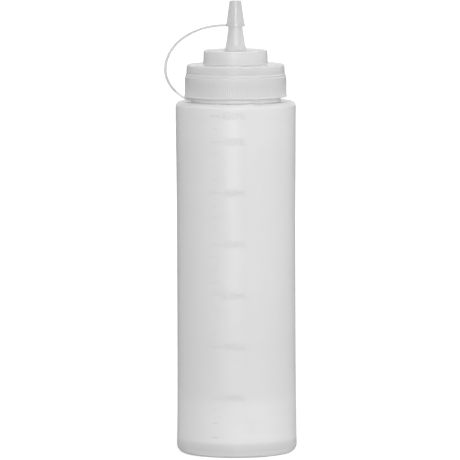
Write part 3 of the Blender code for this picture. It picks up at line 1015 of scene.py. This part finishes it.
def polyethylene(name, colour, roughness, cloud, depth, stops=None):
    """Milky moulded plastic: light sinks in, the surface is satin, and both vary a little with the place."""
    material = bpy.data.materials.new(name)
    material.use_nodes = True
    nodes = material.node_tree.nodes
    links = material.node_tree.links
    shader = nodes["Principled BSDF"]
    shader.inputs["Metallic"].default_value = 0.0
    shader.inputs["IOR"].default_value = PLASTIC_IOR
    shader.inputs["Subsurface Weight"].default_value = 1.0
    shader.inputs["Subsurface Radius"].default_value = (1.0, 1.0, 1.0)
    shader.inputs["Subsurface Scale"].default_value = depth
    shader.inputs["Specular IOR Level"].default_value = PLASTIC_SPECULAR
    place = nodes.new("ShaderNodeTexCoord")

    colours = nodes.new("ShaderNodeValToRGB")
    darker, lighter = colours.color_ramp.elements
    darker.position = NOISE_LOW
    darker.color = (*[c * (1 - cloud) for c in colour], 1)
    lighter.position = NOISE_HIGH
    lighter.color = (*[min(1, c * (1 + cloud)) for c in colour], 1)
    links.new(noise_over(nodes, links, place, CLOUD_NOISE), colours.inputs["Fac"])
    links.new(colours.outputs["Color"], shader.inputs["Base Color"])
    # Painted light and shade by height, multiplied into the colour
    if stops:
        both = nodes.new("ShaderNodeMix")
        both.data_type = "RGBA"
        both.blend_type = "MULTIPLY"
        both.inputs["Factor"].default_value = 1.0
        links.new(colours.outputs["Color"], both.inputs[MIX_FIRST])
        links.new(painted_light_by_height(nodes, links, place, stops), both.inputs[MIX_SECOND])
        links.new(both.outputs[MIX_RESULT], shader.inputs["Base Color"])

    spread = nodes.new("ShaderNodeMapRange")
    spread.inputs["From Min"].default_value = NOISE_LOW
    spread.inputs["From Max"].default_value = NOISE_HIGH
    spread.inputs["To Min"].default_value = roughness - ROUGHNESS_SPREAD
    spread.inputs["To Max"].default_value = roughness + ROUGHNESS_SPREAD
    links.new(noise_over(nodes, links, place, SATIN_NOISE), spread.inputs["Value"])
    links.new(spread.outputs["Result"], shader.inputs["Roughness"])

    bump = nodes.new("ShaderNodeBump")
    bump.inputs["Strength"].default_value = 1.0
    bump.inputs["Distance"].default_value = GRAIN
    links.new(noise_over(nodes, links, place, GRAIN_NOISE), bump.inputs["Height"])
    links.new(bump.outputs["Normal"], shader.inputs["Normal"])
    return material


def make_bottle(looks):
    mesh = revolve("bottle_shell", bottle_outline(), seam_steps(BODY_STEPS), radius_change=wall_change)
    shell = new_piece("bottle_shell", mesh, "bottle", looks["milky_bottle"])
    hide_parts("bottle")
    thread = helix("neck_thread", NECK_RADIUS, NECK_THREAD_OUT, THREAD_BOTTOM, NECK_THREAD_TURNS)
    new_piece("neck_thread", thread, "bottle", looks["milky_bottle"])
    new_piece("scale_marks", scale_marks(), "bottle", looks["milky_scale"])
    new_piece("scale_numbers", scale_numbers(), "bottle", looks["milky_scale"])
    new_piece("base_pinch_line", weld_line(), "bottle", looks["milky_bottle"])


def make_lid(looks):
    mesh = revolve("lid_shell", lid_outline(), even_steps(LID_STEPS), closed=True, radius_change=rib_change)
    shell = new_piece("lid_shell", mesh, "lid", looks["milky_lid"])
    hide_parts("lid")
    bottom = THREAD_BOTTOM + THREAD_PITCH / 2
    thread = helix("lid_thread", SKIRT_BORE_RADIUS, -SKIRT_THREAD_IN, bottom, SKIRT_THREAD_TURNS)
    new_piece("lid_thread", thread, "lid", looks["milky_lid"])


def make_tether(looks):
    mesh = revolve("tether_ring_band", ring_outline(), even_steps(RING_STEPS), closed=True)
    ring = new_piece("tether_ring_band", mesh, None, looks["milky_ring_painted_light"])
    add_lug(ring, RING_OUTER_RADIUS - RING_LUG_SINK, RING_LUG_END, RING_LUG_HEIGHT)
    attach(ring, "tether")
    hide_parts("tether_ring")

    mesh = revolve("nozzle_cap", cap_outline(), even_steps(CAP_STEPS))
    cap = new_piece("nozzle_cap", mesh, None, looks["milky_tether"])
    add_lug(cap, CAP_MOUTH_RADIUS - CAP_LUG_SINK, CAP_LUG_END, CAP_LUG_HEIGHT)
    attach(cap, "tip_cap")
    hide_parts("tip_cap")

    upper, lower = strap_halves()
    mesh = strap_mesh("strap_upper", list(reversed(upper)))
    strap = new_piece("strap_upper", mesh, None, looks["milky_strap"])
    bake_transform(strap)
    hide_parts("tether_strap")
    mesh = strap_mesh("strap_lower", lower)
    strap = new_piece("strap_lower", mesh, None, looks["milky_strap"])
    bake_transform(strap)


def either_ray(nodes, links, first, second):
    """1 for a ray of either kind, and 0 for any other."""
    path = nodes.new("ShaderNodeLightPath")
    either = nodes.new("ShaderNodeMath")
    either.operation = "MAXIMUM"
    links.new(path.outputs[first], either.inputs[0])
    links.new(path.outputs[second], either.inputs[1])
    return either.outputs[0]


def floor_material():
    """A pale matt surface that also glows where the camera sees it, and less so close to the bottle."""
    material = bpy.data.materials.new("studio_floor")
    material.use_nodes = True
    nodes = material.node_tree.nodes
    links = material.node_tree.links
    pale = nodes["Principled BSDF"]
    pale.inputs["Base Color"].default_value = (FLOOR_TONE, FLOOR_TONE, FLOOR_TONE, 1)
    pale.inputs["Roughness"].default_value = FLOOR_ROUGHNESS
    pale.inputs["Specular IOR Level"].default_value = 0.0
    place = nodes.new("ShaderNodeTexCoord")
    away = nodes.new("ShaderNodeVectorMath")
    away.operation = "LENGTH"
    links.new(place.outputs["Object"], away.inputs[0])
    level = nodes.new("ShaderNodeMapRange")
    level.inputs["From Max"].default_value = FLOOR_GLOW_DISTANCE
    level.inputs["To Min"].default_value = FLOOR_GLOW_NEAR
    links.new(away.outputs["Value"], level.inputs["Value"])
    strength = nodes.new("ShaderNodeMath")
    strength.operation = "MULTIPLY"
    links.new(either_ray(nodes, links, "Is Camera Ray", "Is Transmission Ray"), strength.inputs[0])
    links.new(level.outputs["Result"], strength.inputs[1])
    glow = nodes.new("ShaderNodeEmission")
    glow.inputs["Color"].default_value = WHITE
    links.new(strength.outputs[0], glow.inputs["Strength"])
    both = nodes.new("ShaderNodeAddShader")
    links.new(pale.outputs["BSDF"], both.inputs[0])
    links.new(glow.outputs["Emission"], both.inputs[1])
    links.new(both.outputs[0], nodes["Material Output"].inputs["Surface"])
    return material


def make_floor():
    """A pale floor that shows white to the camera, with the bottle's shadow kept on it."""
    bm = bmesh.new()
    bmesh.ops.create_grid(bm, x_segments=2, y_segments=2, size=FLOOR_HALF_SIZE)
    mesh = bpy.data.meshes.new("studio_floor")
    bm.to_mesh(mesh)
    bm.free()
    mesh.materials.append(floor_material())
    floor = bpy.data.objects.new("studio_floor", mesh)
    floor.location.z = -FLOOR_DROP
    bpy.context.scene.collection.objects.link(floor)


def place_at_angle(turn, rise, away):
    """A place this far from the lights' target, turned from the camera's side and raised, in degrees."""
    turn = math.radians(turn)
    rise = math.radians(rise)
    out = Vector((math.sin(turn) * math.cos(rise), -math.cos(turn) * math.cos(rise), math.sin(rise)))
    return LIGHTS_TARGET + out * away


def make_lights():
    for name, turn, rise, away, width, height, watts, shown_in_shine in LIGHTS:
        lamp = bpy.data.lights.new(name, "AREA")
        lamp.shape = "RECTANGLE"
        lamp.size = width
        lamp.size_y = height
        lamp.energy = watts
        thing = bpy.data.objects.new(name, lamp)
        thing.visible_glossy = shown_in_shine
        bpy.context.scene.collection.objects.link(thing)
        thing.location = place_at_angle(turn, rise, away)
        thing.rotation_euler = (LIGHTS_TARGET - thing.location).to_track_quat("-Z", "Y").to_euler()


def make_world():
    """A tent of light round the bottle, white where the camera or a reflection sees it."""
    world = bpy.data.worlds.new("studio")
    world.use_nodes = True
    nodes = world.node_tree.nodes
    links = world.node_tree.links
    background = nodes["Background"]
    place = nodes.new("ShaderNodeTexCoord")
    split = nodes.new("ShaderNodeSeparateXYZ")
    links.new(place.outputs["Generated"], split.inputs["Vector"])
    tent = nodes.new("ShaderNodeValToRGB")
    grey_ramp(tent, WORLD_STOPS)
    links.new(split.outputs["Z"], tent.inputs["Fac"])
    seen = either_ray(nodes, links, "Is Camera Ray", "Is Glossy Ray")
    shown = nodes.new("ShaderNodeMix")
    shown.data_type = "RGBA"
    shown.inputs[MIX_SECOND].default_value = WHITE
    links.new(seen, shown.inputs["Factor"])
    links.new(tent.outputs["Color"], shown.inputs[MIX_FIRST])
    links.new(shown.outputs[MIX_RESULT], background.inputs["Color"])
    strength = nodes.new("ShaderNodeMapRange")
    strength.inputs["To Min"].default_value = WORLD_LIGHT
    strength.inputs["To Max"].default_value = 1.0
    links.new(seen, strength.inputs["Value"])
    links.new(strength.outputs["Result"], background.inputs["Strength"])
    bpy.context.scene.world = world


def make_camera():
    lens = bpy.data.cameras.new("photo_angle")
    lens.lens = CAMERA_LENS
    lens.sensor_width = CAMERA_SENSOR
    lens.clip_start = CAMERA_NEAR
    lens.clip_end = CAMERA_FAR
    camera = bpy.data.objects.new("photo_angle", lens)
    bpy.context.scene.collection.objects.link(camera)
    toward = Vector(CAMERA_TARGET) - Vector(CAMERA_PLACE)
    turn = toward.to_track_quat("-Z", "Y").to_matrix() @ Matrix.Rotation(math.radians(CAMERA_ROLL), 3, "Z")
    camera.rotation_euler = turn.to_euler()
    camera.location = CAMERA_PLACE
    bpy.context.scene.camera = camera


bpy.context.scene.view_settings.view_transform = "Standard"
looks = {name: polyethylene(name, **finish) for name, finish in FINISHES.items()}
make_bottle(looks)
make_lid(looks)
make_tether(looks)
make_floor()
make_lights()
make_world()
make_camera()
